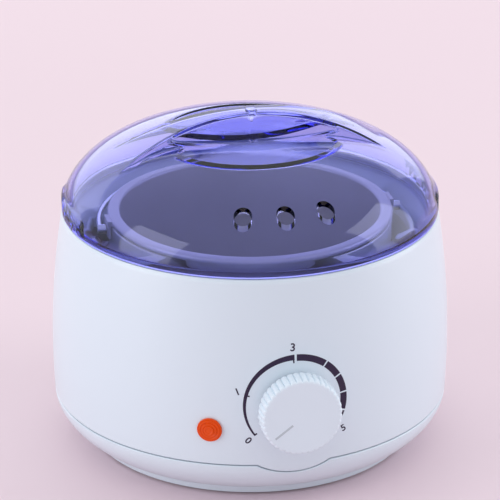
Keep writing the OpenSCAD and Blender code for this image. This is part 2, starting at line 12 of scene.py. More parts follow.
import bpy
from bpy.props import FloatProperty, FloatVectorProperty, IntProperty, PointerProperty
from bpy.types import Operator, Panel, PropertyGroup
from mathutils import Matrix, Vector


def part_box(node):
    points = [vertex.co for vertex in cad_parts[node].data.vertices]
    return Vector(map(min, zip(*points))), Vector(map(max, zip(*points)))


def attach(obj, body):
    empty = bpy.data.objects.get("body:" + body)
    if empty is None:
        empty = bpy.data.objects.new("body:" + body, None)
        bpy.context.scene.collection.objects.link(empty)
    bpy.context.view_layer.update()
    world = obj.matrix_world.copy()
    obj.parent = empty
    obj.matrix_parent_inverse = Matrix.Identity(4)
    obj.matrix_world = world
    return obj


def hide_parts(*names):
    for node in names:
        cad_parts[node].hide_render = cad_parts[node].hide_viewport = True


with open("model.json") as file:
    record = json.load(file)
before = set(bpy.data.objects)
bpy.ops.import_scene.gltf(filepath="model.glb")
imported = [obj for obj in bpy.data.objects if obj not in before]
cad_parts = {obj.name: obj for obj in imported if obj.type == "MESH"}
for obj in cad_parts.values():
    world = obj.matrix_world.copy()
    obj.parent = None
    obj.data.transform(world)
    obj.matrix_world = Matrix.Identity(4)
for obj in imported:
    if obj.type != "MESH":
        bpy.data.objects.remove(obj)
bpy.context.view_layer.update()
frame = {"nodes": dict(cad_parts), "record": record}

bl_info = {
    "name": "Wax warmer",
    "version": (1, 0, 0),
    "blender": (4, 5, 0),
    "location": "View3D > Sidebar > Wax warmer",
    "description": "Builds the finished look of a wax warmer around its CAD model",
    "category": "Object",
}

MM = 0.001
TURN = 2 * math.pi
SHARP_EDGE = 35  # degrees between two faces from which their edge is shaded as an edge
NOISE_SPAN = (0.3, 0.7)  # where nearly all of a noise texture's values lie

HOUSING_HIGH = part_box("housing")[1]
LID_LOW, LID_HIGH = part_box("lid")
KNOB_LOW, KNOB_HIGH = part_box("knob")
POT_LOW, POT_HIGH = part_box("wax_pot")
DECK_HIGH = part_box("deck_ring")[1]
LENS_NUT = sum(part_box("lens_nut"), Vector()) / 2


# ---- sizes and colours ---------------------------------------------------------------------------


def length(name, about, value):
    """A size in metres."""
    return FloatProperty(name=name, description=about, default=value, precision=5, unit="LENGTH")


def turn(name, about, degrees):
    """An angle, given in degrees and kept in radians."""
    return FloatProperty(name=name, description=about, default=math.radians(degrees), unit="ROTATION")


def number(name, about, value):
    """A plain number."""
    return FloatProperty(name=name, description=about, default=value)


def colour(name, about, value):
    """A linear colour."""
    return FloatVectorProperty(
        name=name, description=about, default=value, size=3, min=0, max=1, subtype="COLOR"
    )


class HousingSizes(PropertyGroup):
    """The white outer shell, its base and its deck."""

    belly_height: length("Belly height", "Height at which the housing is widest", 40 * MM)
    rim_in: length("Rim draw-in", "How far the rim is drawn in from the widest radius", 5.2 * MM)
    seam_height: length("Seam height", "Height of the seam between base and housing", 21 * MM)
    seam_gap: length("Seam gap", "Width of the seam", 0.5 * MM)
    seam_round: length("Seam rounding", "Radius of the two edges at the seam", 0.35 * MM)
    foot_height: length("Foot height", "Height of the step above the foot", 5 * MM)
    foot_lift: length("Foot lift", "Height of the moulded foot above the rubber ring's face", 0.8 * MM)
    foot_radius: length("Foot radius", "Radius of the moulded foot", 69.5 * MM)
    foot_flare: length("Foot flare", "How far the base flares out over its foot", 3.5 * MM)
    wall: length("Wall", "Thickness of the moulded walls", 2.4 * MM)
    rim_round: length("Rim rounding", "Radius of the rim's outer edge", 0.8 * MM)
    panel_radius: length("Panel radius", "Radius of the round panel around the dial", 31 * MM)
    deck_width: length("Deck width", "Width from the deck's opening to the rim", 14.9 * MM)
    deck_land: length("Deck land", "Width of the flat land next to the rim", 2.85 * MM)
    deck_wall: length("Deck wall", "Thickness of the deck", 2.2 * MM)
    deck_fall: length("Deck fall", "Fall of the deck to its opening", 4.8 * MM)
    deck_lip: length("Deck lip", "Height of the lip that is turned down at the opening", 5 * MM)
    notch_width: length("Notch width", "Width of the finger notches", 44 * MM)
    notch_depth: length("Notch depth", "Depth of the finger notches", 5.5 * MM)
    relief_width: length("Relief width", "Width of the shallow relief at the front", 100 * MM)
    relief_depth: length("Relief depth", "Depth of the shallow relief at the front", 2.5 * MM)


class PotSizes(PropertyGroup):
    """The lift-out pot."""

    wall: length("Wall", "Thickness of the pot's wall", 1.2 * MM)
    bead: length("Bead", "Radius of the rolled rim's bead", 1.4 * MM)
    rim_width: length("Rim width", "Width of the pot's rim", 5.3 * MM)
    fillet: length("Fillet", "Radius between the wall and the bottom", 7 * MM)


class LidSizes(PropertyGroup):
    """The clear lid with its grip ridge, its two finger pockets and its vents."""

    dome_height: length("Dome height", "Height of the dome above the rim", 35 * MM)
    dome_power: number("Dome fullness", "Power of the dome's outline, fuller as it grows", 2.5)
    wall: length("Wall", "Thickness of the lid", 2.2 * MM)
    skirt_height: length("Skirt height", "Depth of the skirt that centres the lid", 3 * MM)
    skirt_wall: length("Skirt wall", "Thickness of the skirt", 1.8 * MM)
    skirt_inset: length("Skirt inset", "Distance of the skirt from the lid's edge", 2.8 * MM)
    ridge_rise: length("Ridge rise", "Height of the ridge above the dome", 8.4 * MM)
    ridge_arch: length("Ridge arch", "Radius of the ridge's arched top", 104 * MM)
    ridge_half: length("Ridge half width", "Half the ridge's width at its middle", 4.5 * MM)
    ridge_side: length("Ridge side arc", "Radius of the ridge's sides in plan", 168 * MM)
    face_slope: number("Face slope", "Slope of the ridge's sides beyond the pockets", 1.15)
    pocket_half: length("Pocket half length", "Half the length of a finger pocket", 36 * MM)
    pocket_arc: length("Pocket arc", "Radius of a pocket's front edge in plan", 38.8 * MM)
    pocket_centre: length("Pocket centre", "Distance of that arc's centre behind the lid's middle", 1.8 * MM)
    pocket_depth: length("Pocket depth", "Depth of a pocket below the dome's top", 4.6 * MM)
    pocket_wall: length("Pocket wall", "Width in plan that a pocket's walls take", 1.0 * MM)
    front_rise: length("Front rise", "How far the pocket's floor rises towards its front edge", 1.0 * MM)
    floor_rise: number("Floor rise", "How the pocket's floor curves up to its ends, per metre", 3.4)
    vent_radius: length("Vent radius", "Radius of the vent holes", 3.75 * MM)
    vent_ring: length("Vent ring", "Radius of the circle that the vents stand on", 66 * MM)
    vent_step: turn("Vent step", "Angle between the vents", 15)
    gate_radius: length("Gate mark", "Radius of the small moulding mark on the ridge", 2.4 * MM)


class DialSizes(PropertyGroup):
    """The knob, the print around it and the indicator."""

    teeth: IntProperty(name="Teeth", description="Number of grip teeth around the knob", default=40, min=8)
    tooth_depth: length("Tooth depth", "Depth of the grooves between the teeth", 0.8 * MM)
    print_radius: length("Print radius", "Outer radius of the heat scale", 21.7 * MM)
    print_shift: length("Print shift", "How far the heat scale stands right of the knob's axis", 0.5 * MM)
    print_raise: length("Print thickness", "How far the print stands on the shell", 0.06 * MM)
    digit_height: length("Digit height", "Height of the digits", 3.3 * MM)
    pointer_length: length("Pointer length", "Length of the pointer on the knob's face", 9 * MM)
    lens_radius: length("Lens radius", "Radius of the indicator", 5.2 * MM)


class Colours(PropertyGroup):
    """Base colours of the finishes."""

    shell: colour("Shell", "White moulded shell", (0.72, 0.81, 0.88))
    lid: colour("Lid", "Tint left by a deep layer of the lid's plastic", (0.02, 0.06, 0.99))
    ink: colour("Ink", "Print around the dial", (0.018, 0.003, 0.04))
    lens: colour("Lens", "Indicator lens", (0.72, 0.07, 0.003))
    pot: colour("Pot", "Anodised aluminium of the pot", (0.66, 0.65, 0.70))
    floor: colour("Floor", "Pale studio floor", (0.80, 0.64, 0.69))


# ---- mesh helpers --------------------------------------------------------------------------------


def add_piece(name, points, faces, material, body, replaced=(), sharp=SHARP_EDGE):
    """Makes one piece from points and faces and ties it to its CAD body."""
    mesh = bpy.data.meshes.new(name)
    mesh.from_pydata([tuple(p) for p in points], [], faces)
    mesh.validate()
    mesh.shade_smooth()
    mesh.set_sharp_from_angle(angle=math.radians(sharp))
    return place_piece(bpy.data.objects.new(name, mesh), material, body, replaced)


def place_piece(piece, material, body, replaced=()):
    """Gives a piece its finish and its body, and hides the CAD nodes that it stands for."""
    if piece.name not in bpy.context.scene.collection.objects:
        bpy.context.scene.collection.objects.link(piece)
    piece.data.materials.clear()
    piece.data.materials.append(material)
    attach(piece, body)
    if replaced:
        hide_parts(*replaced)
    return piece


def loft(columns):
    """Faces between closed outlines, all with as many points, that stand side by side in a closed round."""
    count = len(columns)
    size = len(columns[0])
    points = [point for column in columns for point in column]
    faces = []
    for i in range(count):
        here, there = i * size, (i + 1) % count * size
        for k in range(size):
            n = (k + 1) % size
            faces.append((here + k, there + k, there + n, here + n))
    return points, faces


def point_key(point):
    """Key that points share when they lie within a tenth of a micrometre."""
    return tuple(round(c * 1e7) for c in point)


def weld(points, faces):
    """Joins points that coincide, as on the axis of a turned shape, and drops the faces that vanish."""
    first = {}
    kept = []
    index = []
    for point in points:
        key = point_key(point)
        if key not in first:
            first[key] = len(kept)
            kept.append(point)
        index.append(first[key])
    solid = []
    for face in faces:
        ring = [index[i] for i in face]
        ring = [v for i, v in enumerate(ring) if v != ring[i - 1]]
        if len(set(ring)) > 2:
            solid.append(ring)
    return kept, solid


def turned(outline, angles, place=None):
    """Turns a closed outline of (radius, height) points around an axis; it may change with the angle."""
    place = place or (lambda r, h, a: Vector((r * math.sin(a), -r * math.cos(a), h)))
    columns = []
    for angle in angles:
        pairs = outline(angle) if callable(outline) else outline
        columns.append([place(r, h, angle) for r, h in pairs])
    return weld(*loft(columns))


def even_angles(count):
    """Angles of a full turn in equal steps, the last step's end left out."""
    return [TURN * i / count for i in range(count)]


def arc(centre_r, centre_h, radius, start, end, steps):
    """Points of an arc in an outline, with its angles in degrees."""
    angles = [math.radians(start + (end - start) * i / steps) for i in range(steps + 1)]
    return [(centre_r + radius * math.cos(a), centre_h + radius * math.sin(a)) for a in angles]


def between(start, end, steps):
    """Evenly spaced values from start to end, both among them."""
    return [start + (end - start) * i / steps for i in range(steps + 1)]


def smooth(value):
    """Eases a value from 0 to 1 and holds it there beyond."""
    value = min(max(value, 0.0), 1.0)
    return value * value * (3 - 2 * value)


def cut(piece, cutter, operation="DIFFERENCE"):
    """Applies one boolean to a piece and removes the cutter."""
    modifier = piece.modifiers.new("cut", "BOOLEAN")
    modifier.operation = operation
    modifier.solver = "EXACT"
    modifier.object = cutter
    bpy.context.view_layer.update()
    depsgraph = bpy.context.evaluated_depsgraph_get()
    mesh = bpy.data.meshes.new_from_object(piece.evaluated_get(depsgraph))
    if not mesh.polygons:
        raise RuntimeError(f"cutting {piece.name} left nothing")
    piece.modifiers.clear()
    piece.data = mesh
    bpy.data.objects.remove(cutter)


def loose_mesh(name, solids):
    """An object made of separate solids, each given as points and faces: a cutter, or the dial's print."""
    points, faces = [], []
    for solid_points, solid_faces in solids:
        offset = len(points)
        points += solid_points
        faces += [[i + offset for i in face] for face in solid_faces]
    mesh = bpy.data.meshes.new(name)
    mesh.from_pydata([tuple(p) for p in points], [], faces)
    made = bpy.data.objects.new(name, mesh)
    bpy.context.scene.collection.objects.link(made)
    return made


def rod(x, y, radius, low, high, sides=48):
    """An upright round rod."""
    outline = [(0, low), (radius, low), (radius, high), (0, high)]

    def place(r, h, a):
        return Vector((x + r * math.sin(a), y - r * math.cos(a), h))

    return turned(outline, even_angles(sides), place)


# ---- node helpers and shared effects -------------------------------------------------------------


def add_node(tree, kind, values=(), **settings):
    """Adds a node. Values maps its inputs to numbers, colours or outputs of other nodes."""
    made = tree.nodes.new(kind)
    for key, value in settings.items():
        setattr(made, key, value)
    for key, value in dict(values).items():
        if isinstance(value, bpy.types.NodeSocket):
            tree.links.new(value, made.inputs[key])
        else:
            made.inputs[key].default_value = value
    return made


def maths(tree, operation, *values):
    """A Math node's result, from numbers or from outputs of other nodes."""
    return add_node(tree, "ShaderNodeMath", dict(enumerate(values)), operation=operation).outputs[0]


def new_group(name, inputs, outputs):
    """An empty node group with float inputs, given with their defaults, and float outputs."""
    group = bpy.data.node_groups.new(name, "ShaderNodeTree")
    for label, value in inputs.items():
        socket = group.interface.new_socket(name=label, in_out="INPUT", socket_type="NodeSocketFloat")
        socket.default_value = value
    for label in outputs:
        group.interface.new_socket(name=label, in_out="OUTPUT", socket_type="NodeSocketFloat")
    return group, group.nodes.new("NodeGroupInput"), group.nodes.new("NodeGroupOutput")


def moulded_group():
    """Fine moulded grain, and a slow drift of tone over the part."""
    group, given, out = new_group("moulded grain", {"Grain": 900.0, "Drift": 25.0}, ["Height", "Tone"])
    place = group.nodes.new("ShaderNodeTexCoord").outputs["Object"]
    grain = {"Vector": place, "Scale": given.outputs["Grain"], "Detail": 3.0}
    drift = {"Vector": place, "Scale": given.outputs["Drift"], "Detail": 2.0}
    fine = add_node(group, "ShaderNodeTexNoise", grain)
    slow = add_node(group, "ShaderNodeTexNoise", drift)
    group.links.new(fine.outputs[0], out.inputs["Height"])
    group.links.new(slow.outputs[0], out.inputs["Tone"])
    return group


def spun_group():
    """Turning marks of a spun or turned part, in rings around its upright axis."""
    group, given, out = new_group("spun rings", {"Rings": 2500.0, "Wander": 40.0}, ["Height", "Tone"])
    place = group.nodes.new("ShaderNodeTexCoord").outputs["Object"]
    axes = add_node(group, "ShaderNodeSeparateXYZ", {"Vector": place})
    flat = add_node(group, "ShaderNodeCombineXYZ", {"X": axes.outputs["X"], "Y": axes.outputs["Y"]})
    reach = add_node(group, "ShaderNodeVectorMath", {0: flat.outputs[0]}, operation="LENGTH")
    along = maths(group, "ADD", reach.outputs["Value"], axes.outputs["Z"])
    ring = maths(group, "MULTIPLY", along, given.outputs["Rings"])
    cuts = {"W": ring, "Scale": 1.0, "Detail": 2.0}
    line = add_node(group, "ShaderNodeTexNoise", cuts, noise_dimensions="1D")
    slow = add_node(group, "ShaderNodeTexNoise", {"Vector": place, "Scale": given.outputs["Wander"]})
    group.links.new(line.outputs[0], out.inputs["Height"])
    group.links.new(slow.outputs[0], out.inputs["Tone"])
    return group


def woven_group():
    """Crossing strands of a woven sleeve or felt."""
    group, given, out = new_group("woven strands", {"Strands": 450.0}, ["Height", "Tone"])
    place = group.nodes.new("ShaderNodeTexCoord").outputs["Object"]
    values = {"Vector": place, "Scale": given.outputs["Strands"], "Distortion": 1.5, "Detail": 1.0}
    warp = add_node(group, "ShaderNodeTexWave", values, bands_direction="Z")
    weft = add_node(group, "ShaderNodeTexWave", values, bands_direction="DIAGONAL")
    over = maths(group, "MAXIMUM", warp.outputs[1], weft.outputs[1])
    fuzz = add_node(group, "ShaderNodeTexNoise", {"Vector": place, "Scale": 600.0})
    group.links.new(over, out.inputs["Height"])
    group.links.new(fuzz.outputs[0], out.inputs["Tone"])
    return group


def effect(tree, maker, **values):
    """Places a shared effect in a material, and builds it the first time that it is asked for."""
    name = {moulded_group: "moulded grain", spun_group: "spun rings", woven_group: "woven strands"}[maker]
    group = bpy.data.node_groups.get(name) or maker()
    return add_node(tree, "ShaderNodeGroup", values, node_tree=group)


def new_material(name, **values):
    """A material with a Principled shader whose constant inputs are set on the shader itself."""
    material = bpy.data.materials.new(name)
    material.use_nodes = True
    tree = material.node_tree
    shader = next(n for n in tree.nodes if n.type == "BSDF_PRINCIPLED")
    for key, value in values.items():
        shader.inputs[key.replace("_", " ")].default_value = value
    return material, tree, shader


def roughen(tree, shader, marks, rough, spread, depth):
    """Drives roughness and relief of a shader from the tone and height of a shared effect."""
    low, high = NOISE_SPAN
    values = {"From Min": low, "From Max": high, "To Min": rough, "To Max": rough + spread}
    dull = add_node(tree, "ShaderNodeMapRange", {"Value": marks.outputs["Tone"], **values})
    values = {"Height": marks.outputs["Height"], "Strength": 1.0, "Distance": depth}
    bump = add_node(tree, "ShaderNodeBump", values)
    tree.links.new(dull.outputs["Result"], shader.inputs["Roughness"])
    tree.links.new(bump.outputs["Normal"], shader.inputs["Normal"])


def dress(tree, shader, marks, tint, shade, rough, spread, depth):
    """Drives colour, roughness and relief of a shader from a shared effect."""
    dark = tuple(c * shade for c in tint) + (1,)
    values = {"Factor": marks.outputs["Tone"], "A": dark, "B": tuple(tint) + (1,)}
    mixed = add_node(tree, "ShaderNodeMix", values, data_type="RGBA")
    tree.links.new(mixed.outputs["Result"], shader.inputs["Base Color"])
    roughen(tree, shader, marks, rough, spread, depth)


def moulded(
    name, tint, rough=0.3, spread=0.08, shade=0.97, grain=900.0, drift=25.0, depth=0.02 * MM, **values
):
    """A moulded plastic, rubber or ceramic."""
    material, tree, shader = new_material(name, **values)
    marks = effect(tree, moulded_group, Grain=grain, Drift=drift)
    dress(tree, shader, marks, tint, shade, rough, spread, depth)
    return material


def spun(name, tint, rough=0.25, spread=0.12, shade=0.85, rings=2500.0, depth=0.004 * MM, **values):
    """A turned or spun metal."""
    material, tree, shader = new_material(name, **{"Metallic": 1.0, **values})
    marks = effect(tree, spun_group, Rings=rings)
    dress(tree, shader, marks, tint, shade, rough, spread, depth)
    return material


def woven(name, tint, strands=450.0, depth=0.25 * MM, **values):
    """A woven or felted mineral fibre."""
    material, tree, shader = new_material(name, **values)
    marks = effect(tree, woven_group, Strands=strands)
    dress(tree, shader, marks, tint, 0.75, 0.8, 0.1, depth)
    return material


def shell_finish():
    """Glossy white plastic of the shells, made once."""
    tint = bpy.context.scene.warmer_colours.shell
    return bpy.data.materials.get("white shell") or moulded(
        "white shell", tint, rough=0.3, shade=0.985, Coat_Weight=0.25, Coat_Roughness=0.12
    )


def lid_finish():
    """Clear plastic: a faint blue at its surface, and a deeper one that grows with its thickness."""
    material, tree, shader = new_material(
        "clear lid", Base_Color=(0.90, 0.91, 1, 1), Transmission_Weight=1.0, IOR=1.45, Coat_Weight=0.0
    )
    marks = effect(tree, moulded_group, Grain=45.0, Drift=20.0)
    roughen(tree, shader, marks, 0.0, 0.03, 0.03 * MM)
    tint = tuple(bpy.context.scene.warmer_colours.lid) + (1,)
    depth = add_node(tree, "ShaderNodeVolumeAbsorption", {"Color": tint, "Density": 130.0})
    end = next(n for n in tree.nodes if n.type == "OUTPUT_MATERIAL")
    tree.links.new(depth.outputs[0], end.inputs["Volume"])
    return material


def lens_finish():
    """Glowing orange lens."""
    tint = tuple(bpy.context.scene.warmer_colours.lens)
    return moulded(
        "orange lens",
        tint,
        rough=0.3,
        spread=0.1,
        shade=0.7,
        grain=250.0,
        drift=180.0,
        depth=0.05 * MM,
        Coat_Weight=0.1,
        Specular_IOR_Level=0.2,
        Emission_Color=tint + (1,),
        Emission_Strength=0.2,
    )


# ---- housing, base and deck ----------------------------------------------------------------------


POST_INSET = 11 * MM  # from the foot's radius in to the middles of the screw posts


def rim_radius(sizes):
    """Outer radius of the housing's rim."""
    return HOUSING_HIGH.x - sizes.rim_in


def skin_radius(z, sizes):
    """Radius of the outer skin at a height: one parabola above the seam and a tighter one below it."""
    belly = HOUSING_HIGH.x
    seam = sizes.seam_height
    share = (max(z, seam) - sizes.belly_height) / (HOUSING_HIGH.z - sizes.belly_height)
    radius = belly - sizes.rim_in * share * share
    if z < seam:
        flare = sizes.foot_radius + sizes.foot_flare
        drop = (seam - z) / (seam - sizes.foot_height)
        radius -= (radius - flare) * drop * drop
    return radius


def dial_height():
    """Height of the knob's axis."""
    return (KNOB_LOW.z + KNOB_HIGH.z) / 2


def seam_at(angle, sizes, gap=0.0):
    """Height of the seam at an angle from the front: it dips under the dial to follow the round panel."""
    seam = sizes.seam_height - gap
    across = abs(math.sin(angle)) * skin_radius(sizes.seam_height, sizes)
    radius = sizes.panel_radius + gap
    if math.cos(angle) < 0 or across >= radius:
        return seam
    return min(seam, dial_height() - math.sqrt(radius * radius - across * across))


def shell_angles(sizes):
    """Angles of the shell's columns: even steps, finer under the dial, with the dip's corners among them."""
    drop = dial_height() - sizes.seam_height
    half = math.sqrt(sizes.panel_radius**2 - drop**2)
    corner = math.asin(half / skin_radius(sizes.seam_height, sizes))
    fine = between(-corner, corner, 48)
    return fine + between(corner, TURN - corner, 320)[1:-1]


def housing_outline(angle, sizes):
    """The housing's section at an angle: up its outside, round its rim and down its inside."""
    low = seam_at(angle, sizes)
    rim = HOUSING_HIGH.z
    edge = sizes.seam_round
    turn_in = sizes.rim_round
    inner = rim_radius(sizes) - sizes.wall
    outline = [(skin_radius(low, sizes) - edge, low)]
    outline += [(skin_radius(z, sizes), z) for z in between(low + edge, rim - turn_in, 44)]
    outline += arc(rim_radius(sizes) - turn_in, rim - turn_in, turn_in, 15, 90, 5)
    outline += arc(inner + edge, rim - edge, edge, 90, 180, 3)
    ledge = DECK_HIGH.z - sizes.deck_wall
    shelf = inner - 2.6 * MM
    outline += [(inner, ledge), (shelf, ledge), (shelf, ledge - sizes.wall)]
    outline += [(skin_radius(z, sizes) - sizes.wall, z) for z in between(ledge - 2 * sizes.wall, low, 12)]
    return outline


def base_outline(angle, sizes):
    """The base's section at an angle: out from the middle of its floor, up its skin to the seam and back."""
    high = seam_at(angle, sizes, sizes.seam_gap)
    edge = sizes.seam_round
    step = sizes.foot_height
    under = step - sizes.wall
    foot = sizes.foot_radius
    lip = foot + sizes.foot_flare
    round_lip = 0.7 * MM
    outline = [(0, under), (foot - sizes.wall, under), (foot - sizes.wall, sizes.foot_lift)]
    outline += arc(foot - edge, sizes.foot_lift + edge, edge, -90, 0, 3)
    outline += [(foot + 0.4 * MM, step - 0.5 * MM)]
    outline += arc(lip - round_lip, step + round_lip, round_lip, -90, -10, 4)
    outline += [(skin_radius(z, sizes), z) for z in between(step + 1.2 * MM, high - edge, 22)]
    outline += [(skin_radius(high, sizes) - edge, high), (skin_radius(high, sizes) - sizes.wall, high)]
    outline += [(skin_radius(z, sizes) - sizes.wall, z) for z in between(high - edge, step + 1.2 * MM, 8)]
    outline += [(0, step)]
    return outline


def slot_box(row, longest=22 * MM, shorter=4 * MM, pitch=9 * MM, end=1.5 * MM, tall=8 * MM):
    """One air slot of the floor, round at its ends; the rows get shorter away from the middle one."""
    half = longest - shorter * abs(row)
    middle = row * pitch
    bends = between(-math.pi / 2, math.pi / 2, 8)
    ends = [(half + end * math.cos(a), middle + end * math.sin(a)) for a in bends]
    ring = ends + [(-x, 2 * middle - y) for x, y in ends]
    count = len(ring)
    points = [Vector((x, y, z)) for z in (0, tall) for x, y in ring]
    sides = [[i, (i + 1) % count, count + (i + 1) % count, count + i] for i in range(count)]
    return points, sides + [list(range(count))[::-1], list(range(count, 2 * count))]


def deck_opening(angle, sizes):
    """Radius of the deck's opening at an angle, with the notches at the sides and the relief at the front."""
    opening = rim_radius(sizes) - sizes.wall - sizes.deck_width
    x, y = opening * math.sin(angle), -opening * math.cos(angle)
    blend = 3 * MM
    notch = smooth((sizes.notch_width / 2 - abs(y)) / blend + 0.5)
    relief = smooth((sizes.relief_width / 2 - abs(x)) / blend + 0.5) if y < 0 else 0
    return opening + max(notch * sizes.notch_depth, relief * sizes.relief_depth)


def deck_outline(angle, sizes):
    """The deck's section at an angle: a flat land, a slope down to the opening and a turned-down lip."""
    opening = deck_opening(angle, sizes)
    outer = DECK_HIGH.x
    land = rim_radius(sizes) - sizes.wall - sizes.deck_land
    top = DECK_HIGH.z
    edge = top - sizes.deck_fall
    wall = sizes.deck_wall
    bend = 1.6 * MM
    outline = [(outer, top - wall), (outer, top), (land + bend, top), (land + bend / 2, top - 0.06 * MM)]
    for share in between(0, 1, 6):
        sag = 0.35 * MM * math.sin(math.pi * share)
        outline.append((land + (opening + bend - land) * share, top - 0.2 * MM + (edge - top) * share + sag))
    outline += arc(opening + bend, edge - bend - 0.2 * MM, bend, 90, 180, 6)
    outline += [(opening, edge - sizes.deck_lip), (opening + wall, edge - sizes.deck_lip)]
    outline += [(opening + wall, edge - wall - bend), (land, top - wall)]
    return outline


# ---- lid -----------------------------------------------------------------------------------------


class LidFace:
    """One face of the lid, outer or inner: where each point of it lies."""

    def __init__(self, sizes, inset):
        self.sizes = sizes
        self.inset = inset
        self.radius = LID_HIGH.x - inset
        self.height = sizes.dome_height - inset
        self.base_z = LID_LOW.z + sizes.skirt_height
        self.arch_z = self.base_z + sizes.dome_height + sizes.ridge_rise - sizes.ridge_arch
        self.arch = sizes.ridge_arch - inset

    def side(self, x):
        """Half the width of the ridge at x."""
        s = self.sizes
        return s.ridge_half - self.inset + s.ridge_side - math.sqrt(s.ridge_side**2 - x * x)

    def pocket(self, x, y):
        """How far a point lies inside a finger pocket's outline, negative outside it."""
        s = self.sizes
        back = abs(y) - self.side(x) - self.inset
        front = (s.pocket_arc + self.inset - math.hypot(x, abs(y) + s.pocket_centre)) / 2 - self.inset
        end = s.pocket_half - abs(x)
        soft = 0.7 * MM
        total = sum(math.exp(-min(max(d / soft, -60), 60)) for d in (back, front, end))
        return self.inset - soft * math.log(total)

    def gate_distance(self, x, y):
        """Distance in plan from the moulding mark, which stands just in front of the lid's middle."""
        return math.hypot(x, y + 2 * MM)

    def raised(self, x, y, base):
        """Height of the dome with the ridge on it."""
        reach = math.hypot(x, y)
        over = abs(y) - self.side(x)
        top = self.arch_z + math.sqrt(self.arch**2 - reach * reach)
        soft = 0.25 * MM
        face = top - self.sizes.face_slope * soft * math.log1p(math.exp(min(over / soft, 60)))
        gap = (face - base) / soft
        return base if gap < -30 else base + soft * math.log1p(math.exp(min(gap, 60))) if gap < 30 else face

    def lift(self, x, y, base):
        """Height of this face above a point in plan, where base is the plain dome's height there."""
        s = self.sizes
        height = self.raised(x, y, base)
        inside = self.pocket(x, y) / s.pocket_wall
        if inside > 0:
            ahead = (abs(y) - self.side(x) - self.inset) / (28 * MM)
            floor = self.base_z + s.dome_height - s.pocket_depth - self.inset
            floor += s.floor_rise * x * x * smooth(1 - 2 * ahead) + s.front_rise * ahead * ahead
            height += (min(floor, height) - height) * smooth(inside)
        if not self.inset:
            height += 0.6 * MM * smooth((s.gate_radius - self.gate_distance(x, y)) / (0.5 * MM) + 0.5)
        return height

    def point(self, out, angle):
        """The point at a share of the way out to the rim and at an angle from the front."""
        quarter = out * math.pi / 2
        reach = self.radius * math.sin(quarter) ** (2 / self.sizes.dome_power)
        x, y = reach * math.sin(angle), -reach * math.cos(angle)
        base = self.base_z + self.height * math.cos(quarter)
        return Vector((x, y, self.lift(x, y, base)))

    def normal(self, out, angle):
        """Direction square to this face, pointing out of the plastic."""
        if out < 1e-6:
            return Vector((0, 0, -1 if self.inset else 1))
        step = 1e-4
        along = self.point(min(out + step, 1), angle) - self.point(out - step, angle)
        across = self.point(out, angle + step) - self.point(out, angle - step)
        made = along.cross(across).normalized()
        return -made if self.inset else made

    def out_of(self, x, y):
        """The share and the angle of a point in plan."""
        reach = min(math.hypot(x, y) / self.radius, 1)
        return math.asin(reach ** (self.sizes.dome_power / 2)) * 2 / math.pi, math.atan2(x, -y)


LID_COLUMNS = 192
LID_ROWS = 40
LID_LEVELS = 4  # times that a cell may be halved
SMALLEST_CELL = 0.12 * MM
LARGEST_SAG = 0.06 * MM
BLEND_CELL = 0.25 * MM
RIDGE_REACH = 61 * MM


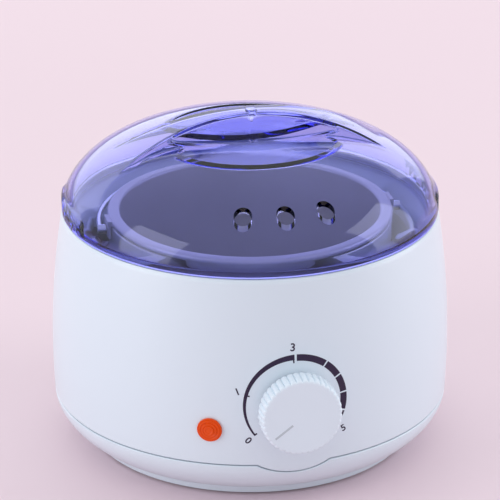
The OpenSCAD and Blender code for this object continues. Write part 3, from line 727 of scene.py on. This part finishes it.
class LidGrid:
    """Splits a lid face into cells, finer where the ridge and the pockets bend it."""

    def __init__(self, face, rows):
        self.face = face
        self.rows = rows
        self.fine = 2**LID_LEVELS
        self.cells = []
        for i in range(LID_COLUMNS):
            for j in range(rows):
                self.split(i * self.fine, j * self.fine, self.fine)
        self.round = LID_COLUMNS * self.fine

    def place(self, u, v):
        """The face's point at a grid position."""
        return self.face.point(v / (LID_ROWS * self.fine), u / (LID_COLUMNS * self.fine) * TURN)

    def bends(self, u, v, size):
        """Whether a cell is too coarse for the shape that crosses it."""
        corners = [self.place(u + a * size, v + b * size) for a in (0, 1) for b in (0, 1)]
        middle = self.place(u + size / 2, v + size / 2)
        reach = max((corner - middle).to_2d().length for corner in corners)
        if reach < SMALLEST_CELL:
            return False
        if abs(middle.z - sum(c.z for c in corners) / 4) > LARGEST_SAG:
            return True
        wall = self.face.sizes.pocket_wall
        x, y = middle.x, middle.y
        near_pocket = -reach < self.face.pocket(x, y) < wall + reach
        near = reach + 0.3 * MM
        near_ridge = abs(x) < RIDGE_REACH and abs(abs(y) - self.face.side(x)) < near
        near_gate = abs(self.face.gate_distance(x, y) - self.face.sizes.gate_radius) < near
        if near_pocket and reach > BLEND_CELL:
            return True
        return (near_ridge or near_gate) and reach > 1.4 * BLEND_CELL

    def split(self, u, v, size):
        """Halves a cell until it is fine enough, and keeps what it ends with."""
        if size > 1 and self.bends(u, v, size):
            half = size // 2
            for a in (0, half):
                for b in (0, half):
                    self.split(u + a, v + b, half)
        else:
            self.cells.append((u, v, size))

    def build(self):
        """Points, faces and normals; a cell next to finer ones takes their corners into its own outline."""
        along, across = {}, {}
        for u, v, size in self.cells:
            for a in (u, u + size):
                for b in (v, v + size):
                    along.setdefault(b, set()).add(a % self.round)
                    across.setdefault(a % self.round, set()).add(b)
        along = {key: sorted(found) + [self.round] for key, found in along.items()}
        across = {key: sorted(found) for key, found in across.items()}
        index, points, normals, faces = {}, [], [], []

        def corner(u, v):
            key = (u % self.round if v else 0, v)
            if key not in index:
                index[key] = len(points)
                share, angle = v / (LID_ROWS * self.fine), u / self.round * TURN
                points.append(self.face.point(share, angle))
                normals.append(self.face.normal(share, angle))
            return index[key]

        for u, v, size in self.cells:
            near = along[v][bisect_left(along[v], u) : bisect_right(along[v], u + size)]
            far = along[v + size][bisect_left(along[v + size], u) : bisect_right(along[v + size], u + size)]
            left = across[u % self.round]
            left = left[bisect_left(left, v) : bisect_right(left, v + size)]
            right = across[(u + size) % self.round]
            right = right[bisect_left(right, v) : bisect_right(right, v + size)]
            ring = [corner(u, b) for b in left] + [corner(a, v + size) for a in far[1:]]
            ring += [corner(u + size, b) for b in reversed(right[:-1])]
            ring += [corner(a, v) for a in reversed(near[1:-1])]
            ring = [p for i, p in enumerate(ring) if p != ring[i - 1]]
            faces.append(ring[::-1] if self.face.inset else ring)
        rim = [corner(i * self.fine, self.rows * self.fine) for i in range(LID_COLUMNS)]
        return points, faces, normals, rim


def lid_edge(sizes):
    """Outline round the lid's edge and its skirt, from the outer face's last row to the inner face's."""
    base = LID_LOW.z + sizes.skirt_height
    outer = LID_HIGH.x
    skirt = outer - sizes.skirt_inset
    inner = skirt - sizes.skirt_wall
    low = LID_LOW.z
    soft = 0.4 * MM
    edge = [(outer, base + soft)] + arc(outer - soft, base + soft, soft, 0, -90, 3)[1:]
    edge += [(skirt + soft, base), (skirt, base - soft), (skirt, low + soft)]
    edge += arc(skirt - soft, low + soft, soft, 0, -90, 3)[1:]
    edge += arc(inner + soft, low + soft, soft, -90, -180, 3)
    edge += [(inner, base + 0.6 * MM), (inner + 0.5 * MM, base + 1.6 * MM)]
    return edge


def build_lid(sizes):
    """Joins the outer face, the edge with its skirt, and the inner face into one closed wall.

    Returns its points and faces, and for each point of the two faces its normal.
    """
    outer = LidGrid(LidFace(sizes, 0.0), LID_ROWS - 1)
    inner = LidGrid(LidFace(sizes, sizes.wall), LID_ROWS - 4)
    points, faces, normals, rim = outer.build()
    inner_points, inner_faces, inner_normals, inner_rim = inner.build()
    offset = len(points)
    points += inner_points
    normals += inner_normals
    faces += [[i + offset for i in face] for face in inner_faces]
    loops = [rim]
    for radius, height in lid_edge(sizes):
        start = len(points)
        for i in range(LID_COLUMNS):
            angle = TURN * i / LID_COLUMNS
            points.append(Vector((radius * math.sin(angle), -radius * math.cos(angle), height)))
        loops.append(list(range(start, start + LID_COLUMNS)))
    loops.append([i + offset for i in inner_rim])
    for near, far in zip(loops, loops[1:]):
        for i in range(LID_COLUMNS):
            n = (i + 1) % LID_COLUMNS
            faces.append([near[i], far[i], far[n], near[n]])
    return points, faces, normals


def smooth_lid(mesh, sizes, known):
    """Sets the lid's normals from its true shape, and leaves its edge, skirt and vents as they are."""
    mesh.shade_smooth()
    mesh.set_sharp_from_angle(angle=math.radians(40))
    outer, inner = LidFace(sizes, 0.0), LidFace(sizes, sizes.wall)
    normals = [Vector(corner.vector) for corner in mesh.corner_normals]
    for polygon in mesh.polygons:
        corners = [(i, mesh.vertices[mesh.loops[i].vertex_index].co) for i in polygon.loop_indices]
        found = [known.get(point_key(co)) for _, co in corners]
        sides = {side for side, _ in filter(None, found)}
        if len(sides) != 1:
            continue
        face = inner if sides.pop() else outer
        for (i, co), hit in zip(corners, found):
            made = hit[1] if hit else face.normal(*face.out_of(co.x, co.y))
            if made.dot(polygon.normal) > 0.5:
                normals[i] = made
    mesh.normals_split_custom_set(normals)


# ---- dial ----------------------------------------------------------------------------------------


def facing(angle, height):
    """Places points of a part that looks out of the housing's side, by radius and distance out."""
    out = Vector((math.sin(angle), -math.cos(angle), 0))
    right = Vector((math.cos(angle), math.sin(angle), 0))
    return lambda r, h, a: out * h + right * (r * math.sin(a)) + Vector((0, 0, height - r * math.cos(a)))


def knob_outline(angle, sizes):
    """The knob's section at an angle: up its toothed side, over its face and down into its hollow back."""
    radius = (KNOB_HIGH.x - KNOB_LOW.x) / 2
    groove = 1 - math.sqrt(abs(math.sin(sizes.teeth * angle / 2)))
    back = HOUSING_HIGH.x + 1.3 * MM
    front = -KNOB_LOW.y
    hub_back = -KNOB_HIGH.y if -KNOB_HIGH.y > back else back + 2.7 * MM
    hub, bore, wall = 5.5 * MM, 3 * MM, 5 * MM
    flare = back + 3.6 * MM
    outline = [(radius - 3.2 * MM, back), (radius - 3 * MM, back + 1.6 * MM), (radius - 0.9 * MM, flare)]
    for share, draft in ((0.05, 0.25), (0.12, 0.05), (0.35, 0.1), (0.6, 0.15), (0.8, 0.25)):
        outline.append((radius - draft * MM - sizes.tooth_depth * groove, flare + (front - flare) * share))
    for step in between(0, 1, 8):
        bend = step * math.pi / 2
        inset = 0.3 * MM + 1.3 * MM * (1 - math.cos(bend)) + sizes.tooth_depth * groove * (1 - 0.5 * step)
        outline.append((radius - inset, front - 1.4 * MM * (1 - math.sin(bend))))
    outline += [(radius - 3 * MM, front), (0, front), (0, front - 2.4 * MM), (bore, front - 2.4 * MM)]
    outline += [(bore, hub_back), (hub, hub_back), (hub, front - 2.6 * MM)]
    outline += [(radius - wall, front - 2.6 * MM), (radius - wall, back)]
    return outline


def pointer_bar(sizes, angle=-127):
    """The raised bar on the knob's face that points at the scale, at its angle in degrees."""
    section = ((-0.45, -0.2), (-0.45, 0.03), (-0.3, 0.07), (0.3, 0.07), (0.45, 0.03), (0.45, -0.2))
    a = math.radians(angle)
    columns = []
    for share in between(0, 1, 6):
        along = 5.0 * MM + share * sizes.pointer_length
        column = []
        for side, lift in section:
            across = along * math.sin(a) + side * MM * math.cos(a)
            up = along * math.cos(a) - side * MM * math.sin(a)
            column.append(Vector((across, KNOB_LOW.y - lift * MM, dial_height() + up)))
        columns.append(column)
    points, faces = loft(columns)
    count = len(section)
    last = count * (len(columns) - 1)
    return points, faces[:-count] + [list(range(count)), [last + i for i in reversed(range(count))]]


def on_shell(across, up, lift, sizes):
    """A point on the housing's front, measured from the dial's centre."""
    z = dial_height() + up
    radius = skin_radius(z, sizes) + lift
    return Vector((across, -math.sqrt(radius * radius - across * across), z))


PRINT_ROOT = -0.1 * MM  # the print reaches this far into the shell
DIAL_DIGITS = (  # text, degrees clockwise from the top, radius in mm, tilt in degrees, size
    ("0", -129, 24.6, 40, 0.9),
    ("1", -75, 24.1, -20, 0.9),
    ("3", -2, 24.7, 4, 1.0),
    ("5", 124, 25.2, -25, 0.9),
)


def print_ribbon(sections, sizes, raised, shift):
    """A printed stroke on the shell, from (degrees clockwise from the top, inner radius, outer radius)."""
    columns = []
    for degrees, inner, outer in sections:
        a = math.radians(degrees)
        ring = [(inner, raised), (outer, raised), (outer, PRINT_ROOT), (inner, PRINT_ROOT)]
        columns.append([on_shell(shift + r * math.sin(a), r * math.cos(a), lift, sizes) for r, lift in ring])
    points, faces = loft(columns)
    faces = faces[:-4]
    last = 4 * (len(columns) - 1)
    return points, faces + [[0, 1, 2, 3], [last + 3, last + 2, last + 1, last]]


def scale_strokes(radius):
    """The heat scale: a stroke that swells up to its top, four steps, and a tail that thins out."""
    start, top = -128, -2
    swelling = []
    for degrees in between(start, top, 60):
        width = (0.7 + 1.7 * (degrees - start) / (top - start)) * MM
        swelling.append((degrees, radius - width, radius))
    strokes = [swelling]
    for degrees, reach in ((-127.2, 1.5), (-77, 2.2), (-3.2, 3.6)):
        strokes.append([(degrees + side, radius - reach * MM, radius - 0.3 * MM) for side in (-0.9, 0.9)])
    step_width = 2.8 * MM
    for first, last in ((0.6, 36.6), (38.4, 59.6), (61.4, 82.4), (84.2, 104.6)):
        strokes.append([(degrees, radius - step_width, radius) for degrees in between(first, last, 14)])
    tail_start, tail_turn = 106.6, 15
    tail = []
    for share in between(0, 1, 16):
        width = (2.0 - 1.4 * share) * MM
        tail.append((tail_start + tail_turn * share, radius - width, radius - 0.3 * MM * share))
    return strokes + [tail]


def printed_digit(text, degrees, radius, tilt, height, sizes, raised):
    """Points and faces of one digit, laid on the shell at an angle and a radius of the dial."""
    curve = bpy.data.curves.new("digit", "FONT")
    curve.body = text
    curve.size = height / 0.7  # the digits are 0.7 of the font's size
    curve.align_x = "CENTER"
    curve.align_y = "CENTER"
    curve.extrude = 0.1 * MM
    curve.offset = 0.07 * MM
    curve.resolution_u = 6
    letter = bpy.data.objects.new("digit", curve)
    bpy.context.scene.collection.objects.link(letter)
    bpy.context.view_layer.update()
    mesh = bpy.data.meshes.new_from_object(letter.evaluated_get(bpy.context.evaluated_depsgraph_get()))
    bpy.data.objects.remove(letter)
    a, t = math.radians(degrees), math.radians(tilt)
    points = []
    for vertex in mesh.vertices:
        x, y, z = vertex.co
        across = radius * math.sin(a) + x * math.cos(t) + y * math.sin(t)
        up = radius * math.cos(a) - x * math.sin(t) + y * math.cos(t)
        points.append(on_shell(across, up, raised if z > 0 else PRINT_ROOT, sizes))
    faces = [list(polygon.vertices) for polygon in mesh.polygons]
    bpy.data.meshes.remove(mesh)
    return points, faces


# ---- operators: one for each piece or group of like pieces ---------------------------------------


class WARMER_OT_shells(Operator):
    """Makes the white shells: the housing, the base with its air slots and screw posts, and the deck"""

    bl_idname = "warmer.shells"
    bl_label = "White shells"

    def execute(self, context):
        sizes = context.scene.warmer_housing
        finish = shell_finish()
        points, faces = turned(lambda a: housing_outline(a, sizes), shell_angles(sizes))
        add_piece("housing_shell", points, faces, finish, "warmer", ["housing"])

        points, faces = turned(lambda a: base_outline(a, sizes), shell_angles(sizes))
        base = add_piece("base_shell", points, faces, finish, "warmer", ["base_cover"])
        ring = sizes.foot_radius - POST_INSET
        corners = [math.radians(45 + 90 * i) for i in range(4)]
        spots = [(ring * math.cos(a), ring * math.sin(a)) for a in corners]
        floor = sizes.foot_height
        posts = [rod(x, y, 4.5 * MM, floor - sizes.wall, sizes.seam_height + 3 * MM) for x, y in spots]
        cut(base, loose_mesh("posts", posts), "UNION")
        holes = [rod(x, y, 3.5 * MM, 0, floor + 1.5 * MM) for x, y in spots]
        holes += [slot_box(row) for row in range(-3, 4)]
        cut(base, loose_mesh("holes", holes))
        bores = [rod(x, y, 1.7 * MM, floor, sizes.seam_height + 4 * MM, 24) for x, y in spots]
        cut(base, loose_mesh("bores", bores))
        base.data.set_sharp_from_angle(angle=math.radians(SHARP_EDGE))

        points, faces = turned(lambda a: deck_outline(a, sizes), even_angles(480))
        add_piece("deck", points, faces, finish, "warmer", ["deck_ring"])
        return {"FINISHED"}


class WARMER_OT_pot(Operator):
    """Makes the spun aluminium pot with its rolled rim"""

    bl_idname = "warmer.pot"
    bl_label = "Pot"

    def execute(self, context):
        sizes = context.scene.warmer_pot
        tint = context.scene.warmer_colours.pot
        top, low, rim = POT_HIGH.z, POT_LOW.z, POT_HIGH.x
        outer = rim - sizes.rim_width + sizes.wall
        inner = outer - sizes.wall
        bead = sizes.bead
        fillet = sizes.fillet
        outline = [(0, low), (outer - fillet, low)]
        outline += arc(outer - fillet, low + fillet, fillet, -90, 0, 10)[1:]
        outline += [(outer, top - 2 * bead - 0.5 * MM), (outer + 0.4 * MM, top - 2 * bead)]
        outline += arc(rim - bead, top - bead, bead, -90, 90, 12)
        outline += arc(inner + 1.1 * MM, top - 1.1 * MM, 1.1 * MM, 90, 180, 6)
        inside = fillet - sizes.wall
        outline += arc(inner - inside, low + fillet, inside, 0, -90, 10)
        outline += [(0, low + sizes.wall)]
        points, faces = turned(outline, even_angles(240))
        finish = spun("spun pot", tint, rough=0.4, spread=0.12, shade=0.85, Metallic=0.55)
        add_piece("pot_shell", points, faces, finish, "pot", ["wax_pot"])
        return {"FINISHED"}


class WARMER_OT_lid(Operator):
    """Makes the clear domed lid with its grip ridge, finger pockets and vents"""

    bl_idname = "warmer.lid"
    bl_label = "Lid"

    def execute(self, context):
        sizes = context.scene.warmer_lid
        points, faces, normals = build_lid(sizes)
        known = {}
        base_z = LID_LOW.z + sizes.skirt_height
        for point, normal in zip(points, normals):
            side = 0 if normal.z > 0 else 1
            known[point_key(point)] = (side, normal)
        lid = add_piece("lid_shell", points, faces, lid_finish(), "lid", ["lid"])
        vents = []
        for k in (-1, 0, 1):
            a = k * sizes.vent_step
            x, y = sizes.vent_ring * math.sin(a), -sizes.vent_ring * math.cos(a)
            vents.append(rod(x, y, sizes.vent_radius, base_z + MM, base_z + sizes.dome_height, 64))
        cut(lid, loose_mesh("vents", vents))
        smooth_lid(lid.data, sizes, known)
        return {"FINISHED"}


class WARMER_OT_dial(Operator):
    """Makes the knob with its pointer and the print around it"""

    bl_idname = "warmer.dial"
    bl_label = "Dial"

    def execute(self, context):
        sizes = context.scene.warmer_dial
        shell = context.scene.warmer_housing
        colours = context.scene.warmer_colours
        place = facing(0.0, dial_height())
        bright = tuple(min(1, c * 1.07) for c in colours.shell)
        white = moulded("white knob", bright, rough=0.32, Coat_Weight=0.2)
        points, faces = turned(lambda a: knob_outline(a, sizes), even_angles(sizes.teeth * 12), place)
        add_piece("knob_body", points, faces, white, "dial", ["knob"], sharp=50)

        points, faces = pointer_bar(sizes)
        mark = moulded("pointer grey", tuple(c * 0.72 for c in colours.shell), rough=0.4)
        add_piece("knob_pointer", points, faces, mark, "dial")

        ink = moulded("dial print", colours.ink, rough=0.42, shade=0.6, grain=1500.0)
        raised = sizes.print_raise
        strokes = scale_strokes(sizes.print_radius)
        solids = [print_ribbon(stroke, shell, raised, sizes.print_shift) for stroke in strokes]
        for text, degrees, radius, tilt, scale in DIAL_DIGITS:
            size = sizes.digit_height * scale
            solids.append(printed_digit(text, degrees, radius * MM, tilt, size, shell, raised))
        joined = loose_mesh("dial_scale", solids)
        joined.data.set_sharp_from_angle(angle=math.radians(SHARP_EDGE))
        place_piece(joined, ink, "warmer")
        return {"FINISHED"}


class WARMER_OT_lens(Operator):
    """Makes the indicator lens with its rings"""

    bl_idname = "warmer.lens"
    bl_label = "Indicator lens"

    def execute(self, context):
        radius = context.scene.warmer_dial.lens_radius
        seat = skin_radius(LENS_NUT.z, context.scene.warmer_housing) + 0.25 * MM
        stem = radius - 1 * MM
        back, under = seat - 7.5 * MM, seat - 0.1 * MM
        outline = [(0, back), (stem, back), (stem, under), (radius - 0.15 * MM, under)]
        outline += arc(radius - 0.4 * MM, seat + 0.4 * MM, 0.4 * MM, 0, 90, 4)
        for i in range(3):
            edge = radius - (0.75 + 1.2 * i) * MM
            base = seat + (0.7 + 0.3 * i) * MM
            outline += [(edge, base), (edge - 0.15 * MM, base + 0.45 * MM)]
            outline += [(edge - 0.45 * MM, base + 0.55 * MM), (edge - 0.75 * MM, base + 0.45 * MM)]
            outline += [(edge - 0.9 * MM, base + 0.3 * MM)]
        outline += [(0, seat + 1.75 * MM)]
        place = facing(math.atan2(LENS_NUT.x, -LENS_NUT.y), LENS_NUT.z)
        points, faces = turned(outline, even_angles(96), place)
        add_piece("lens_body", points, faces, lens_finish(), "warmer", ["indicator_lens"])
        return {"FINISHED"}


class WARMER_OT_frame_parts(Operator):
    """Gives every part that keeps its CAD shape a finish by its record slot"""

    bl_idname = "warmer.frame_parts"
    bl_label = "Finishes of the other parts"

    def execute(self, context):
        pot = tuple(context.scene.warmer_colours.pot)
        finishes = {
            "white_shell": shell_finish(),
            "knob_white": shell_finish(),
            "rubber": moulded(
                "black rubber", (0.035, 0.036, 0.042), rough=0.7, shade=0.7, grain=700.0, depth=0.05 * MM
            ),
            "steel": spun("plated steel", (0.52, 0.52, 0.53), rough=0.28),
            "well_aluminium": spun("well aluminium", (0.68, 0.69, 0.73), rough=0.42, Metallic=0.6),
            "pot_aluminium": spun("ear aluminium", pot, rough=0.4, Metallic=0.55),
            "wire_steel": spun("bright wire", (0.74, 0.75, 0.78), rough=0.14, rings=900.0),
            "mica": moulded(
                "mica band", (0.56, 0.46, 0.31), rough=0.35, shade=0.75, grain=260.0, depth=0.05 * MM
            ),
            "glass_fibre": woven("glass fibre felt", (0.13, 0.13, 0.15)),
            "ceramic": moulded("steatite", (0.80, 0.77, 0.70), rough=0.45, shade=0.9),
            "fuse_metal": spun("tinned case", (0.60, 0.60, 0.58), rough=0.4),
            "amber": lens_finish(),
            "nylon": moulded("pale nylon", (0.70, 0.71, 0.72), rough=0.45, shade=0.92),
            "lamp_glass": moulded("neon glass", (0.95, 0.52, 0.22), rough=0.1, shade=0.8, Coat_Weight=0.5),
            "brass": spun("brass", (0.72, 0.50, 0.20), rough=0.3),
            "lead_sleeve": woven("woven sleeve", (0.78, 0.76, 0.70), strands=900.0, depth=0.1 * MM),
        }
        slots = {part["node"]: part["material_slot"] for part in record_parts()}
        for node, obj in frame["nodes"].items():
            obj.data.materials.clear()
            obj.data.materials.append(finishes.get(slots[node]) or bpy.data.materials["clear lid"])
        return {"FINISHED"}


def record_parts():
    """The record's parts as a list of dictionaries that each name their node."""
    parts = frame["record"]["subparts"]
    if isinstance(parts, dict):
        return [{"node": node, **part} for node, part in parts.items()]
    return parts


def soft_light(name, place, target, size, power, tint):
    """A rectangular area light that looks at a target."""
    data = bpy.data.lights.new(name, "AREA")
    data.shape = "RECTANGLE"
    data.size, data.size_y = size
    data.energy = power
    data.color = tint
    made = bpy.data.objects.new(name, data)
    made.location = place
    made.rotation_euler = (Vector(target) - Vector(place)).to_track_quat("-Z", "Y").to_euler()
    bpy.context.scene.collection.objects.link(made)


class WARMER_OT_stage(Operator):
    """Lays the floor and sets the lights, the sky and the camera"""

    bl_idname = "warmer.stage"
    bl_label = "Stage"

    def execute(self, context):
        scene = context.scene
        half = 6.0
        mesh = bpy.data.meshes.new("studio_floor")
        corners = [(-half, -half, 0), (half, -half, 0), (half, half, 0), (-half, half, 0)]
        mesh.from_pydata(corners, [], [(0, 1, 2, 3)])
        floor = bpy.data.objects.new("studio_floor", mesh)
        floor.location.z = -0.0002
        scene.collection.objects.link(floor)
        tint = scene.warmer_colours.floor
        mesh.materials.append(moulded("floor", tint, rough=0.6, shade=0.99, grain=60.0, drift=2.0))

        world = bpy.data.worlds.new("studio")
        world.use_nodes = True
        sky = world.node_tree
        place = add_node(sky, "ShaderNodeTexCoord").outputs["Generated"]
        height = add_node(sky, "ShaderNodeSeparateXYZ", {"Vector": place}).outputs["Z"]
        power = maths(sky, "MULTIPLY_ADD", height, 0.22, 0.66)
        sky.links.new(power, sky.nodes["Background"].inputs["Strength"])
        sky.nodes["Background"].inputs["Color"].default_value = (0.93, 0.95, 1.0, 1)
        scene.world = world
        scene.view_settings.view_transform = "Standard"

        middle = (0, 0, 0.07)
        soft_light("left", (-1.0, -0.25, 0.42), middle, (0.7, 1.0), 4.2, (0.97, 0.98, 1.0))
        soft_light("right", (1.0, -0.15, 0.42), middle, (0.7, 1.0), 4.2, (0.97, 0.98, 1.0))
        soft_light("back", (0, 1.4, 0.55), middle, (3.0, 0.9), 9.0, (1.0, 1.0, 1.0))

        camera = bpy.data.objects.new("camera", bpy.data.cameras.new("camera"))
        azimuth, elevation, distance = math.radians(-12.5), math.radians(23.34), 1.25
        target = Vector((0, 0, 0.06815))
        flat = distance * math.cos(elevation)
        back = Vector((flat * math.sin(azimuth), -flat * math.cos(azimuth), distance * math.sin(elevation)))
        camera.location = target + back
        camera.rotation_euler = (-back).to_track_quat("-Z", "Y").to_euler()
        camera.data.lens = 209.9
        camera.data.sensor_width = 36
        camera.data.shift_y = 0.0552
        camera.data.clip_end = 30
        camera.data.dof.use_dof = False
        scene.collection.objects.link(camera)
        scene.camera = camera
        return {"FINISHED"}


class WARMER_PT_panel(Panel):
    """Lists the steps that build the wax warmer"""

    bl_label = "Wax warmer"
    bl_idname = "WARMER_PT_panel"
    bl_space_type = "VIEW_3D"
    bl_region_type = "UI"
    bl_category = "Wax warmer"

    def draw(self, context):
        for step in OPERATORS:
            self.layout.operator(step.bl_idname)
        for group in ("warmer_housing", "warmer_pot", "warmer_lid", "warmer_dial", "warmer_colours"):
            values = getattr(context.scene, group)
            box = self.layout.box()
            for key in values.bl_rna.properties.keys():
                if key not in ("rna_type", "name"):
                    box.prop(values, key)


GROUPS = {
    "warmer_housing": HousingSizes,
    "warmer_pot": PotSizes,
    "warmer_lid": LidSizes,
    "warmer_dial": DialSizes,
    "warmer_colours": Colours,
}
OPERATORS = (
    WARMER_OT_stage,
    WARMER_OT_shells,
    WARMER_OT_pot,
    WARMER_OT_lid,
    WARMER_OT_dial,
    WARMER_OT_lens,
    WARMER_OT_frame_parts,
)


def register():
    for name, group in GROUPS.items():
        bpy.utils.register_class(group)
        setattr(bpy.types.Scene, name, PointerProperty(type=group))
    for kind in OPERATORS + (WARMER_PT_panel,):
        bpy.utils.register_class(kind)


def unregister():
    for kind in reversed(OPERATORS + (WARMER_PT_panel,)):
        bpy.utils.unregister_class(kind)
    for name, group in GROUPS.items():
        delattr(bpy.types.Scene, name)
        bpy.utils.unregister_class(group)


def main():
    register()
    for step in OPERATORS:
        family, name = step.bl_idname.split(".")
        getattr(getattr(bpy.ops, family), name)()
    bpy.context.view_layer.update()


if __name__ == "__main__":
    main()
